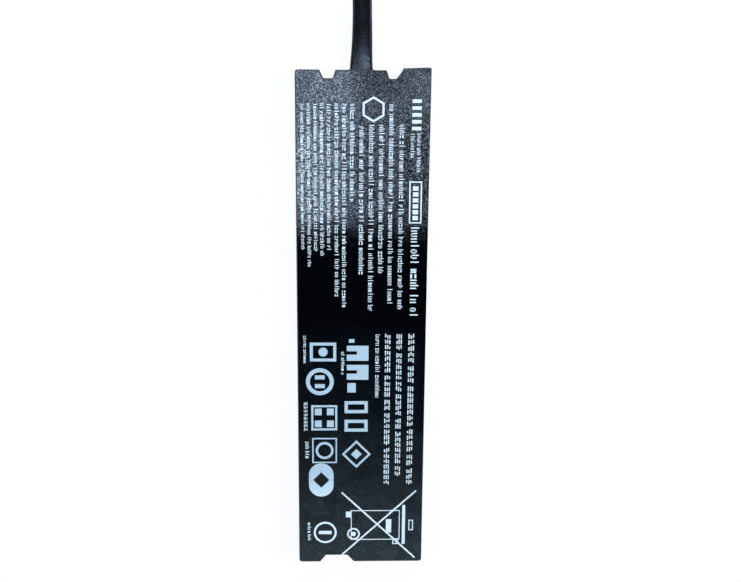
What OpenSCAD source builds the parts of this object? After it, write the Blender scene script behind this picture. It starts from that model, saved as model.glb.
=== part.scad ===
// Slim backup battery module for a server's storage controller.
// A shallow tray and a flush lid close round two flat pouch cells in series and a small circuit board.
// A flat sleeved cable leaves one end, and its length is put away as a tied hank.
// Units are millimetres. The module lies on its tray: X across it, +Y towards the cable, +Z out of the film.

/* [Housing] */
// Width across the two long sides
module_w = 36.5; // [36.3:0.1:38]
// Length from end to end, without the cable
module_l = 142; // [141.5:0.5:146]
// Thickness of tray and lid together, up to the face under the film
shell_t = 5.4; // [5.3:0.1:6]
// Thickness of the side and end walls
wall_t = 1.2; // [1.1:0.05:1.2]
// Thickness of the tray's floor and of the lid's roof
panel_t = 0.8; // [0.7:0.05:0.85]
// Height of the seam between tray and lid
seam_z = 3.6; // [3.4:0.1:4]
// Radius of the four outer corners
corner_r = 0.8; // [0.6:0.1:2]
// Depth of the shallow recess in the underside
base_recess = 0.2; // [0:0.05:0.3]

/* [Notches] */
// Depth of the two locating notches beside the cable
head_notch_depth = 2.2; // [1.5:0.1:2.4]
// Depth of the wide locating notch in the foot end
foot_notch_depth = 2.1; // [1.5:0.1:2.4]
// Radius of the notches' corners
notch_r = 0.4; // [0.2:0.05:0.6]

/* [Film and print] */
// Thickness of the printed film
film_t = 0.2; // [0.1:0.05:0.3]
// Width of the bare rim left round the film
film_margin = 0.35; // [0.2:0.05:1]
// Thickness of the ink
ink_t = 0.05; // [0.03:0.01:0.1]

/* [Cells] */
// Width of a pouch cell
cell_w = 33.6; // [32:0.1:33.8]
// Length of a pouch cell with its sealed terrace
cell_l = 50; // [48:0.5:50]
// Thickness of a pouch cell
cell_t = 3; // [2.8:0.1:3]

/* [Cable] */
// Width of the sleeve where it leaves the grommet
exit_w = 6.1; // [5:0.1:6.2]
// Width of the sleeve along its run
sleeve_w = 5.3; // [4.6:0.1:5.3]
// Thickness of the sleeve along its run
sleeve_t = 2.5; // [2:0.1:2.5]
// Outer diameter of one insulated lead
lead_d = 0.9; // [0.7:0.05:0.9]
// Distance between the plug's contacts
plug_pitch = 1.5; // [1.4:0.05:1.6]

/* [Hidden] */
half_w = module_w / 2;
half_l = module_l / 2;
roof_z = shell_t - panel_t;           // underside of the lid's roof
film_z = shell_t;                     // face that the film is stuck to
print_z = film_z + film_t;
inner_half_w = half_w - wall_t;
seam_gap = 0.1;                       // shadow line between tray and lid
lip_t = wall_t / 2;                   // the lid's lip takes the outer half of the wall
joint_gap = 0.05;                     // clearance between the lid's lip and the tray's tongue
fillet_steps = 4;

// Each notch: where its mouth opens, where its floor begins and ends, where its mouth closes, along X
left_notch = [-11.7, -10.6, -8.1, -7.4];
right_notch = [6.4, 7.1, 8.95, 10.75];
foot_notch = [-12, -10.3, -3.9, -2];

tape_t = 0.15;
cell_z = panel_t + tape_t;            // underside of the cells
cell_top = cell_z + cell_t;
terrace_l = 4.5;                      // sealed edge that the tabs come out of
terrace_t = 0.9;
terrace_z = cell_z + cell_t / 2 - terrace_t / 2;
tab_w = 4;
tab_t = 0.15;
tab_l = 4.2;
tab_x = 7.5;                          // tabs stand this far from the cell's middle
tab_z = terrace_z + terrace_t / 2 - tab_t / 2;
cell_1_y = -67.2;                     // foot edge of the first cell
cell_2_y = -11.2;                     // foot edge of the second cell
cell_1_tab_y = cell_1_y + cell_l;
cell_2_tab_y = cell_2_y + cell_l;

board_t = 0.8;
board_top = tab_z;                    // the second cell's tabs lie on the board
board_z = board_top - board_t;
board_from_y = 41.5;
board_to_y = 66.4;
board_half_w = 16.5;
key_y = 54;                           // the tray's keys stand in notches in the board's sides
key_w = 1.8;
key_in = 1.4;

strip_w = 6;                          // flat conductor from the first cell over the second to the board
strip_t = 0.15;
strip_head_w = 20;

cable_x = -0.4;                       // middle of the cable's exit
slot_w = 6.6;
slot_from_z = 1.1;
collar_t = 0.4;
lead_count = 5;
joint_y = 61.5;                       // row of soldered leads on the board
joint_pitch = 2;
joint_r = 0.8;

// Route of the sleeve's centre line: out of the collar, down to the surface, round a loop and back
route = [
    [-0.4, 71.42, 2.35], [-0.4, 73.5, 2.35], [-0.4, 76, 2.15], [-0.3, 80, 1.7], [-0.3, 86, 1.35], [-0.3, 94, 1.3],
    [-0.4, 102, 1.5], [-0.4, 110, 2.1], [-0.4, 118, 2.45], [-1, 124, 1.9], [-1.6, 130, 1.4],
    [-2.6, 136.3, 1.3], [-5.6, 142, 1.3], [-9.6, 146, 1.3], [-13.6, 150, 1.3], [-16.6, 155.7, 1.3],
    [-17.6, 162, 1.3], [-16.6, 168.3, 1.3], [-13.6, 174, 1.3], [-9.6, 178, 1.3], [-3.9, 181, 1.3],
    [2.4, 182, 1.3], [8.7, 181, 1.3], [14.4, 178, 1.3], [18.4, 174, 1.3], [21.4, 168.3, 1.3],
    [22.4, 162, 1.3], [21.4, 155.7, 1.3], [18.4, 150, 1.3], [14.4, 146, 1.3], [10.4, 142, 1.3],
    [7.4, 136.3, 1.3], [6.4, 130, 1.4], [5.8, 124, 1.9], [5.2, 118, 2.45], [5.2, 114, 2.2],
    [5.2, 112, 2.2]
];
rings_between = 2;                    // rings of the tube from one route point to the next
exit_t = 1.6;                         // thickness of the sleeve where it leaves the grommet
spread_points = 4;                    // the sleeve is wider than its run up to this route point
tie_y = 118;
tie_w = 2.5;
tie_t = 1;
tie_z = 2.45;                         // middle of the tie's opening, which lifts both runs a little
plug_x = 8.6;
plug_from_y = 97;
plug_l = 6;
plug_t = 3.4;
plug_z = plug_t / 2;
cavity = 1.1;

// Outline of the housing

function unit(v) = v / norm(v);

// Positive where the outline a, b, c turns left at b
function turn(a, b, c) = (b.x - a.x) * (c.y - b.y) - (b.y - a.y) * (c.x - b.x);

// Corner b moved inwards by d from both of its edges
function corner_inset(a, b, c, d) =
    let (u = unit(b - a), v = unit(c - b), n = [-u.y, u.x], m = [-v.y, v.x])
    b + (n + m) * d / (1 + n * m);

// Points of an arc of radius r in the corner b
function corner_arc(a, b, c, r) =
    let (
        u = unit(a - b), v = unit(c - b),
        half = acos(u * v) / 2,
        centre = b + unit(u + v) * r / sin(half),
        first = b + u * r / tan(half) - centre,
        from = atan2(first.y, first.x),
        sweep = sign(turn(a, b, c)) * (180 - 2 * half)
    )
    [for (k = [0:fillet_steps]) let (t = from + sweep * k / fillet_steps) centre + r * [cos(t), sin(t)]];

function rounded(corners, radii) =
    let (n = len(corners))
    [for (i = [0:n - 1]) each corner_arc(corners[(i + n - 1) % n], corners[i], corners[(i + 1) % n], radii[i])];

// Sharp corners, anticlockwise from the foot's left corner, and the radius of each
housing_corners = [
    [-half_w, -half_l],
    [foot_notch[0], -half_l], [foot_notch[1], -half_l + foot_notch_depth],
    [foot_notch[2], -half_l + foot_notch_depth], [foot_notch[3], -half_l],
    [half_w, -half_l],
    [half_w, half_l],
    [right_notch[3], half_l], [right_notch[2], half_l - head_notch_depth],
    [right_notch[1], half_l - head_notch_depth], [right_notch[0], half_l],
    [left_notch[3], half_l], [left_notch[2], half_l - head_notch_depth],
    [left_notch[1], half_l - head_notch_depth], [left_notch[0], half_l],
    [-half_w, half_l]
];
outer_corner = [0, 5, 6, 15];

function corner_radius(i, inset) =
    let (
        n = len(housing_corners), c = housing_corners,
        hollow = turn(c[(i + n - 1) % n], c[i], c[(i + 1) % n]) < 0,
        r = len(search(i, outer_corner)) > 0 ? corner_r : notch_r
    )
    hollow ? r + inset : max(r - inset, 0.15);

// The housing's outline, or the same outline moved inwards
module outline(inset = 0) {
    n = len(housing_corners);
    corners = [for (i = [0:n - 1])
        corner_inset(housing_corners[(i + n - 1) % n], housing_corners[i], housing_corners[(i + 1) % n], inset)];
    polygon(rounded(corners, [for (i = [0:n - 1]) corner_radius(i, inset)]));
}

// A wall that follows the outline from one inset to a deeper one
module wall(from_inset, to_inset, z, h) {
    translate([0, 0, z]) linear_extrude(h) difference() {
        outline(from_inset);
        outline(to_inset);
    }
}

// Small helpers

// A block given by the middle of its footprint, its underside and its size
module block(x, y, z, size) {
    translate([x - size.x / 2, y - size.y / 2, z]) cube(size);
}

// A flat bar in the print, given by two opposite corners
module bar(a, b) {
    translate([min(a.x, b.x), min(a.y, b.y)]) square([abs(b.x - a.x), abs(b.y - a.y)]);
}

module frame(a, b, line) {
    middle = (a + b) / 2;
    size = [abs(b.x - a.x), abs(b.y - a.y)];
    translate(middle) difference() {
        square(size, center = true);
        square(size - 2 * [line, line], center = true);
    }
}

module ring(centre, r, line, sides = 48) {
    translate(centre) difference() {
        circle(r, $fn = sides);
        circle(r - line, $fn = sides);
    }
}

module stroke(a, b, line) {
    along = b - a;
    translate((a + b) / 2) rotate(atan2(along.y, along.x)) square([norm(along), line], center = true);
}

// Smooth curve through points, at a parameter counted in points
function on_curve(points, t) =
    let (
        last = len(points) - 1, i = min(floor(t), last - 1), f = t - i,
        a = points[max(i - 1, 0)], b = points[i], c = points[i + 1], d = points[min(i + 2, last)]
    )
    b + ((c - a) * f + (2 * a - 5 * b + 4 * c - d) * f * f + (3 * b - a - 3 * c + d) * f * f * f) / 2;

// A flattened tube swept along points, with a width and a thickness at each ring
module tube(points, widths, heights, sides, steps) {
    count = (len(points) - 1) * steps;
    up = [0, 0, 1];
    verts = [for (k = [0:count])
        let (
            t = k / steps, reach = 0.05,
            here = on_curve(points, t),
            along = unit(on_curve(points, min(t + reach, len(points) - 1)) - on_curve(points, max(t - reach, 0))),
            side = unit(cross(along, up)), top = cross(side, along)
        )
        for (s = [0:sides - 1])
            let (a = 360 * (s + 0.5) / sides, squareness = 0.75)
            here + side * widths[k] / 2 * sign(cos(a)) * pow(abs(cos(a)), squareness)
                 + top * heights[k] / 2 * sign(sin(a)) * pow(abs(sin(a)), squareness)];
    polyhedron(
        verts,
        concat(
            [[for (s = [sides - 1:-1:0]) s]],
            [[for (s = [0:sides - 1]) count * sides + s]],
            [for (k = [0:count - 1]) for (s = [0:sides - 1])
                let (p = k * sides + s, q = k * sides + (s + 1) % sides)
                each [[p, q, p + sides], [q, q + sides, p + sides]]]
        )
    );
}

module wire(points, d, steps = 3) {
    n = (len(points) - 1) * steps;
    tube(points, [for (k = [0:n]) d], [for (k = [0:n]) d], 8, steps);
}

// Housing

snap_at = [-48, 0, 48];               // snap beads along each long side
snap_l = 10;
snap_h = 0.35;
snap_out = 0.15;
snap_z = seam_z + 0.45;

module tray() {
    divider_y = (cell_1_tab_y + tab_l + cell_2_y) / 2;
    color("#17191c") {
        difference() {
            union() {
                linear_extrude(seam_z) outline();
                wall(lip_t + joint_gap, wall_t, seam_z, roof_z - seam_z);
            }
            translate([0, 0, panel_t]) linear_extrude(shell_t) outline(wall_t);
            // shallow recess that leaves a rim to stand on
            translate([0, 0, -1]) linear_extrude(1 + base_recess) outline(2.4);
            // gate mark of the mould
            translate([0, 12, -1]) cylinder(h = 1 + base_recess + 0.15, r = 1.2, $fn = 32);
            // slot for the grommet's neck
            translate([cable_x - slot_w / 2, half_l - wall_t - 1, slot_from_z]) cube([slot_w, wall_t + 2, shell_t]);
        }
        // snap beads on the tongue
        for (side = [-1, 1]) for (y = snap_at)
            block(side * (half_w - lip_t - joint_gap + snap_out / 2 - 0.1), y, snap_z,
                  [snap_out + 0.2, snap_l, snap_h]);
        // low wall between the first cell's tabs and the second cell
        for (side = [-1, 1]) block(side * (strip_head_w / 2 + 3), divider_y, panel_t - 0.1, [8, 0.6, 1.3]);
        // ribs under the board
        for (side = [-1, 1])
            translate([side * 12 - 0.5, board_from_y + 0.5, panel_t - 0.1])
                cube([1, board_to_y - board_from_y - 1, board_z - panel_t + 0.1]);
        // keys that hold the board in place
        for (side = [-1, 1])
            block(side * (inner_half_w - key_in / 2 + 0.1), key_y, panel_t - 0.1,
                  [key_in + 0.2, key_w, board_top - panel_t + 0.4]);
        // cheeks that hold the grommet's inner flange
        for (side = [-1, 1])
            block(cable_x + side * 4.9, half_l - wall_t - 0.5, panel_t - 0.1, [0.8, 1.2, seam_z - panel_t]);
    }
}

module lid() {
    lip_z = seam_z + seam_gap;
    color("#17191c") difference() {
        union() {
            translate([0, 0, roof_z]) linear_extrude(panel_t) outline();
            wall(0, lip_t, lip_z, roof_z - lip_z + 0.1);
            // raised rim round the film
            wall(0, film_margin - joint_gap, shell_t - 0.1, 0.1 + film_t / 2);
        }
        // grooves that take the snap beads
        for (side = [-1, 1]) for (y = snap_at)
            block(side * (half_w - lip_t), y, snap_z - 0.05, [0.4, snap_l + 0.4, snap_h + 0.1]);
    }
}

module front_film() {
    color("#23282e") translate([0, 0, film_z]) linear_extrude(film_t) outline(film_margin);
}

// Print

// Rows of plain word bars: place across the film, where the row starts and ends, height of a bar
rows = [
    [15.35, 54.6, 43.5, 1.1], [13.65, 54.6, 47.6, 1.1], [14.7, 29.1, 3.1, 2.2],
    [10.75, 56.9, 5.3, 1.4], [7.9, 62.1, 6.6, 1.4], [5.2, 56.7, 14.8, 1.4], [2.45, 56.7, 5.1, 1.4],
    [-0.2, 56.3, 15, 1.4], [-2.8, 62.2, 35.5, 1.2], [-4.95, 62.2, 6, 1.2], [-7, 62.2, 8.6, 1.2],
    [-9.15, 62.2, 21.9, 1.1], [-11.05, 62.2, 20.7, 1.1], [-12.8, 62.2, 21.4, 1], [-14.6, 62.2, 17.2, 1],
    [-16.4, 62.2, 22.2, 0.9],
    [14.2, -1.1, -48.4, 1.7], [10.75, -1.1, -44.4, 1.6], [7.5, -1.1, -48, 1.6], [4.6, -1.3, -20.4, 1.3],
    [-5.3, -6.4, -13.3, 1], [-16.1, -1.7, -10.3, 0.9], [-16, -21.3, -30.6, 1.1],
    [-15.6, -33.2, -39.2, 1.2], [-15.2, -58.5, -65, 1]
];
word_lengths = [5, 3, 7, 4, 2, 6, 8, 3];  // letters in each word, over and over
letter_pitch = 0.72;                  // of the bar's height

// Start and length of each word from y down to the row's end
function words(y, end_y, pitch, i) =
    y - 2 * pitch < end_y ? []
    : let (length = min(word_lengths[i % len(word_lengths)] * pitch, y - end_y))
      concat([[y, length]], words(y - length - pitch, end_y, pitch, i + 1));

module print_rows() {
    color("#cfe4f2") translate([0, 0, print_z]) linear_extrude(ink_t)
        for (i = [0:len(rows) - 1]) {
            row = rows[i];
            for (word = words(row[1], row[2], row[3] * letter_pitch, i))
                bar([row.x - row[3] / 2, word[0]], [row.x + row[3] / 2, word[0] - word[1]]);
        }
}

module print_marks() {
    color("#cfe4f2") translate([0, 0, print_z]) linear_extrude(ink_t) {
        // striped field at the head of the film
        for (y = [55.4:1.8:62.6]) bar([13.4, y], [15.9, y + 0.9]);
        // framed field before the title
        frame([12.9, 30.2], [16.4, 41.7], 0.35);
        for (y = [31.1:1.62:39.9]) bar([13.9, y], [15.4, y + 1.15]);
        // hexagon beside the text
        translate([2.9, 60.8]) rotate(30) ring([0, 0], 3.4, 0.6, 6);
        // two slotted blocks with a dot at each end
        for (y = [-4.6, -10.2]) difference() {
            bar([-4.2, y], [2, y - 4.4]);
            bar([-5, y - 1.6], [-1.3, y - 2.6]);
        }
        bar([-3.6, -2.7], [-2, -3.7]);
        bar([-4, -15.6], [-1.6, -18.4]);
        // framed dot
        frame([-14.7, -3.7], [-7.2, -9.2], 0.85);
        translate([-10.95, -6.45]) circle(1.3, $fn = 32);
        // thick ring with two bars
        ring([-11.9, -15.2], 4, 1.15);
        bar([-13.3, -13.3], [-10.5, -14.5]);
        bar([-13.3, -15.9], [-10.5, -17.1]);
        // two upright frames
        frame([-4.8, -21], [1.9, -24.6], 0.95);
        frame([-4.8, -26.6], [1.9, -30.2], 0.95);
        // square of four squares
        frame([-14.4, -22.2], [-6.9, -29.8], 0.6);
        for (x = [-12.4, -8.9]) for (y = [-24.2, -27.8])
            translate([x, y]) square(2, center = true);
        // diamond with a solid middle
        translate([-1.35, -37.1]) rotate(45) {
            frame([-3, -3], [3, 3], 0.6);
            square(2.2, center = true);
        }
        // framed ring
        frame([-14.2, -32.1], [-7, -39.8], 0.4);
        ring([-10.6, -35.95], 2.6, 0.7);
        // long field with a diamond cut out
        difference() {
            union() {
                bar([-15.2, -43.5], [-8, -46.6]);
                for (y = [-43.5, -46.6]) translate([-11.6, y]) scale(3.6) circle(1, $fn = 40);
            }
            translate([-11.6, -45.05]) rotate(45) square(3.4, center = true);
        }
        // ring with a bar across
        ring([-10.5, -61.6], 3.4, 0.6);
        bar([-12.4, -61.1], [-8.6, -62.1]);
        // large crossed frame with a ring, bars and two small frames
        stroke([-5.6, -49], [16.2, -69.8], 0.5);
        stroke([16.3, -48.5], [-5.5, -68.7], 0.5);
        frame([-2.9, -54.6], [11.6, -64], 0.25);
        bar([7.5, -57.5], [9.1, -61.7]);
        bar([12.3, -53], [13.2, -65.4]);
        frame([14.2, -57.7], [15.6, -61], 0.3);
        frame([9.5, -63.6], [11.2, -65.4], 0.3);
        ring([-2.1, -62.1], 1.9, 0.5);
        translate([-2.1, -62.1]) circle(0.7, $fn = 24);
        bar([-4.4, -55], [-2.9, -56.8]);
    }
}

// Cells

// Rounded profile of a pouch, centred, for a length across and a thickness
function pouch_profile(across, thick) =
    let (a = across / 2, b = thick / 2)
    rounded([[-a, -b], [a, -b], [a, b], [-a, b]], [0.6, 0.6, 0.9, 0.9]);

module cell(y) {
    body_l = cell_l - terrace_l;
    middle = [0, y + body_l / 2, cell_z + cell_t / 2];
    seam_w = 0.25;
    color("#b4b9bf") {
        translate(middle) intersection() {
            rotate([90, 0, 0]) linear_extrude(body_l, center = true)
                polygon(pouch_profile(cell_w - 2 * seam_w, cell_t));
            rotate([90, 0, 90]) linear_extrude(cell_w, center = true) polygon(pouch_profile(body_l, cell_t));
        }
        // sealed terrace and the side seams folded up against the body
        block(0, y + body_l + terrace_l / 2 - 0.4, terrace_z, [cell_w - 1, terrace_l + 0.8, terrace_t]);
        for (side = [-1, 1])
            block(side * (cell_w / 2 - seam_w), y + body_l / 2, cell_z + 0.7, [2 * seam_w, body_l - 1.6, cell_t - 1.2]);
    }
}

module tabs(y) {
    color("#d3d6d8") for (side = [-1, 1]) block(side * tab_x, y + tab_l / 2, tab_z, [tab_w, tab_l, tab_t]);
}

module cell_tape(y) {
    color("#e8e4d8") for (side = [-1, 1]) block(side * 9, y + 22, panel_t, [9, 34, tape_t]);
}

module foam_pad_1() {
    color("#5c6066") block(0, cell_1_y + 22, cell_top, [26, 32, roof_z - cell_top]);
}

// Two strips of foam, one on each side of the flat conductor
module foam_pad_2() {
    color("#5c6066") for (side = [-1, 1])
        block(side * 9.5, cell_2_y + 22, cell_top, [10, 32, roof_z - cell_top]);
}

module conductor_strip() {
    head_z = tab_z + tab_t;
    rise_y = cell_1_tab_y + tab_l;
    // side view of the strip: up from the tabs, over the second cell and down to the board
    path = [
        [cell_1_tab_y + 0.8, head_z], [rise_y, head_z], [cell_2_y + 0.4, cell_top],
        [cell_2_y + cell_l - terrace_l, cell_top], [board_from_y + 1.2, board_top], [board_from_y + 4, board_top]
    ];
    color("#c77f2a") {
        rotate([90, 0, 90]) linear_extrude(strip_w, center = true)
            polygon(concat(path, [for (i = [len(path) - 1:-1:0]) path[i] + [0, strip_t]]));
        block(0, cell_1_tab_y + 2.2, head_z, [strip_head_w, 2.8, strip_t]);
    }
}

module tab_tape() {
    color("#d9a441") block(0, cell_1_tab_y + 2.2, tab_z + tab_t + strip_t, [24, 3.6, 0.08]);
}

// Circuit board

module circuit_board() {
    color("#1f5a3a") difference() {
        translate([-board_half_w, board_from_y, board_z]) cube([2 * board_half_w, board_to_y - board_from_y, board_t]);
        for (side = [-1, 1])
            block(side * (inner_half_w - key_in / 2 + 0.1), key_y, board_z - 1, [key_in + 0.4, key_w + 0.3, board_t + 2]);
    }
}

module gauge_chip() {
    color("#202124") {
        block(-6, 50.5, board_top + 0.1, [5, 5, 0.9]);
        for (side = [-1, 1]) for (i = [-3:3]) {
            block(-6 + side * 2.7, 50.5 + i * 0.65, board_top, [0.9, 0.3, 0.25]);
            block(-6 + i * 0.65, 50.5 + side * 2.7, board_top, [0.3, 0.9, 0.25]);
        }
    }
}

module power_switches() {
    color("#202124") for (x = [6, 11]) {
        block(x, 48.5, board_top + 0.1, [3.3, 3, 0.8]);
        for (side = [-1, 1]) for (i = [-1.5:1:1.5])
            block(x + i * 0.65, 48.5 + side * 1.6, board_top, [0.35, 0.6, 0.25]);
    }
}

module sense_resistor() {
    color("#2b2b2b") block(8.5, 54.5, board_top, [6.3, 3.2, 0.6]);
}

module chip_fuse() {
    color("#e3e0d2") block(-12.4, 46, board_top, [4.5, 2.6, 1]);
}

module chip_capacitors() {
    color("#b08a5b") {
        for (x = [-10:2:0]) block(x, 56, board_top, [0.8, 1.6, 0.8]);
        for (y = [48:2:54]) block(-1.2, y, board_top, [1.6, 0.8, 0.8]);
    }
}

module chip_resistors() {
    color("#3a3d42") for (x = [-12:1.6:-4]) block(x, 58.6, board_top, [0.6, 1.1, 0.35]);
}

// Bead on the second cell's terrace, with two thin leads to the board
module thermistor() {
    bead_z = terrace_z + terrace_t;
    bead_y = cell_2_tab_y - 2.2;
    color("#20242a") {
        block(13, bead_y, bead_z, [1.6, 2.4, 0.9]);
        for (side = [-1, 1])
            wire([[13 + side * 0.4, bead_y + 1.1, bead_z + 0.45], [13 + side * 0.4, bead_y + 2.6, bead_z + 0.4],
                  [13 + side * 0.6, board_from_y + 0.6, board_top + 0.3],
                  [13 + side * 0.7, board_from_y + 2.2, board_top + 0.25]], 0.45, 2);
    }
}

module insulation_sheet() {
    color("#c9b48a") block(0, (board_from_y + board_to_y) / 2, roof_z - 0.15, [31, board_to_y - board_from_y - 2, 0.15]);
}

module solder_joints() {
    color("#c9cdd2") for (i = [-2:2])
        translate([cable_x + i * joint_pitch, joint_y, board_top]) {
            intersection() {
                sphere(joint_r, $fn = 24);
                translate([-1, -1, 0]) cube(2);
            }
            translate([0, 0, 0.45]) rotate([-90, 0, 0]) cylinder(h = joint_r + 0.1, r = 0.25, $fn = 16);
        }
}

module inner_leads() {
    from_y = joint_y + joint_r + 0.12;
    wire_z = board_top + lead_d / 2 + 0.02;
    flange_y = half_l - wall_t - 1.17;
    color("#b3262a") for (i = [-2:2]) {
        a = cable_x + i * joint_pitch;
        b = cable_x + i * (lead_d + 0.15);
        wire([[a, from_y, wire_z], [a, from_y + 1, wire_z], [(a + b) / 2, from_y + 2.7, wire_z],
              [b, flange_y - 1.6, wire_z], [b, flange_y - 0.8, wire_z], [b, flange_y, wire_z]], lead_d, 2);
    }
}

// Cable

// Grommet moulded on the sleeve: inner flange, neck in the tray's slot, thin collar outside
module cable_grommet() {
    inner_y = half_l - wall_t;
    neck_h = seam_z - slot_from_z;
    color("#121315") {
        block(cable_x, inner_y - 0.6, panel_t, [slot_w + 2, 1.1, seam_z - panel_t + 0.2]);
        block(cable_x, inner_y + wall_t / 2, slot_from_z, [slot_w - 0.1, wall_t + 0.2, neck_h]);
        translate([cable_x, half_l + 0.05, slot_from_z + neck_h / 2]) rotate([-90, 0, 0])
            linear_extrude(collar_t - 0.05)
                polygon(rounded([[-3.6, -1.5], [3.6, -1.5], [3.6, 1.5], [-3.6, 1.5]], [0.8, 0.8, 0.8, 0.8]));
    }
}

module cable_sleeve() {
    count = (len(route) - 1) * rings_between;
    wide = [for (k = [0:count]) max(0, 1 - k / rings_between / spread_points)];
    color("#1d2024") tube(
        route,
        [for (s = wide) sleeve_w + (exit_w - sleeve_w) * s],
        [for (s = wide) sleeve_t + (exit_t - sleeve_t) * s],
        12, rings_between
    );
}

module plug_leads() {
    end = route[len(route) - 1];
    rear_y = plug_from_y + plug_l;
    color("#d8d8d4") for (i = [-2:2])
        wire([[end.x + i * 0.95, end.y - 0.04, end.z], [end.x + i * 0.95, end.y - 1.5, end.z],
              [(end.x + plug_x) / 2 + i * 1.2, (end.y + rear_y) / 2 + 0.5, (end.z + plug_z) / 2],
              [plug_x + i * plug_pitch, rear_y + 2.2, plug_z], [plug_x + i * plug_pitch, rear_y + 1, plug_z],
              [plug_x + i * plug_pitch, rear_y - 0.3, plug_z], [plug_x + i * plug_pitch, rear_y - 1.6, plug_z]],
             lead_d, 2);
}

module plug_housing() {
    body_w = plug_pitch * lead_count + 1.7;
    middle_y = plug_from_y + plug_l / 2;
    color("#e6dfc8") difference() {
        union() {
            block(plug_x, middle_y, 0, [body_w, plug_l, plug_t]);
            // ramp of the friction lock and the two guide rails
            block(plug_x, plug_from_y + 2.2, plug_t - 0.1, [3.2, 2.4, 0.5]);
            for (side = [-1, 1]) block(plug_x + side * (body_w / 2), plug_from_y + 2, 0.8, [0.8, 4, 1.2]);
        }
        for (i = [-2:2]) {
            block(plug_x + i * plug_pitch, middle_y, plug_z - cavity / 2, [cavity, plug_l + 1, cavity]);
            // window over each contact's latch
            block(plug_x + i * plug_pitch, plug_from_y + 4.4, plug_z, [0.7, 0.9, plug_t]);
        }
    }
}

module plug_contacts() {
    color("#c8a64b") for (i = [-2:2])
        block(plug_x + i * plug_pitch, plug_from_y + 2.4, plug_z - cavity / 2, [0.9, 3.8, 0.9]);
}

// Small nylon tie round both runs of the cable
module cable_tie() {
    out_x = -0.4;                     // the two runs of the route where the tie holds them
    back_x = 5.2;
    across = back_x - out_x + sleeve_w + 0.4;
    high = sleeve_t + 0.2;
    middle = [(out_x + back_x) / 2, tie_y, tie_z];
    color("#202124") {
        translate(middle) rotate([90, 0, 0]) linear_extrude(tie_w, center = true) difference() {
            polygon(rounded([[-across / 2 - tie_t, -high / 2 - tie_t], [across / 2 + tie_t, -high / 2 - tie_t],
                             [across / 2 + tie_t, high / 2 + tie_t], [-across / 2 - tie_t, high / 2 + tie_t]],
                            [1.4, 1.4, 1.4, 1.4]));
            square([across, high], center = true);
        }
        difference() {
            block(middle.x + across / 2 + tie_t + 1.2, tie_y, 0.4, [2.8, 4.2, 4]);
            block(middle.x + across / 2 + tie_t + 1.4, tie_y, 3.4, [1.3, 2.7, 2]);
        }
    }
}

tray();
lid();
front_film();
print_rows();
print_marks();
cell(cell_1_y);  // cell_1
cell(cell_2_y);  // cell_2
tabs(cell_1_tab_y);  // cell_1_tabs
tabs(cell_2_tab_y);  // cell_2_tabs
cell_tape(cell_1_y);  // cell_tape_1
cell_tape(cell_2_y);  // cell_tape_2
foam_pad_1();
foam_pad_2();
conductor_strip();
tab_tape();
circuit_board();
gauge_chip();
power_switches();
sense_resistor();
chip_fuse();
chip_capacitors();
chip_resistors();
thermistor();
insulation_sheet();
solder_joints();
inner_leads();
cable_grommet();
cable_sleeve();
plug_leads();
plug_housing();
plug_contacts();
cable_tie();
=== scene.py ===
import math
import random

import bmesh
import bpy
from mathutils import Euler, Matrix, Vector


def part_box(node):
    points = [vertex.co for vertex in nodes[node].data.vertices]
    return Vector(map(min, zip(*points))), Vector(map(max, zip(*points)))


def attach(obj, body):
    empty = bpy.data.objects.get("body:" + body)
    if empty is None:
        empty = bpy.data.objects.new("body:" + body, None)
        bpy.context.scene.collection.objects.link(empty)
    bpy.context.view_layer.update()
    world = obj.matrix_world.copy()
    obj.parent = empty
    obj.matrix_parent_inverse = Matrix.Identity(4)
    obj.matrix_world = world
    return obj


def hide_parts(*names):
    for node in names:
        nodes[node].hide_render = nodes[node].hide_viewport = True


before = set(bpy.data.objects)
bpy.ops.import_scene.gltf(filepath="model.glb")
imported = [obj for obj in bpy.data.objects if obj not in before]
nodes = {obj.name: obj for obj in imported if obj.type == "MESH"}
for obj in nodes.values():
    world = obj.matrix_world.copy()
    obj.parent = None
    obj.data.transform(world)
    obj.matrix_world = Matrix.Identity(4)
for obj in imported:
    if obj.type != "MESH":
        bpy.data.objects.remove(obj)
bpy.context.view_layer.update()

mm = 0.001
print("frame loaded:", len(nodes), "nodes")

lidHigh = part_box("lid")[1]
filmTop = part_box("front_film")[1].z


cameraView = {
    "place": (-0.00271, 0.04313, 0.1996),
    "turnDegrees": (-9.356, -1.449, 0.418),
    "lens": 34.01,
    "sensor": 36.0,
    "nearest": 0.01, "farthest": 20,
}


def makeCamera():
    data = bpy.data.cameras.new("camera")
    data.lens = cameraView["lens"]
    data.sensor_width = cameraView["sensor"]
    data.clip_start = cameraView["nearest"]
    data.clip_end = cameraView["farthest"]
    cam = bpy.data.objects.new("camera", data)
    cam.location = cameraView["place"]
    cam.rotation_euler = Euler([math.radians(a) for a in cameraView["turnDegrees"]])
    bpy.context.scene.collection.objects.link(cam)
    bpy.context.scene.camera = cam


makeCamera()
print("camera placed")


def meshObject(name, bm):
    mesh = bpy.data.meshes.new(name)
    bm.normal_update()
    bm.to_mesh(mesh)
    bm.free()
    obj = bpy.data.objects.new(name, mesh)
    bpy.context.scene.collection.objects.link(obj)
    return obj


def onCurve(points, t):  # smooth curve through points, t counted in points
    last = len(points) - 1
    i = min(int(t), last - 1)
    f = t - i
    a, b = Vector(points[max(i - 1, 0)]), Vector(points[i])
    c, d = Vector(points[i + 1]), Vector(points[min(i + 2, last)])
    return b + ((c - a) * f + (2 * a - 5 * b + 4 * c - d) * f * f + (3 * b - a - 3 * c + d) * f ** 3) / 2


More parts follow.
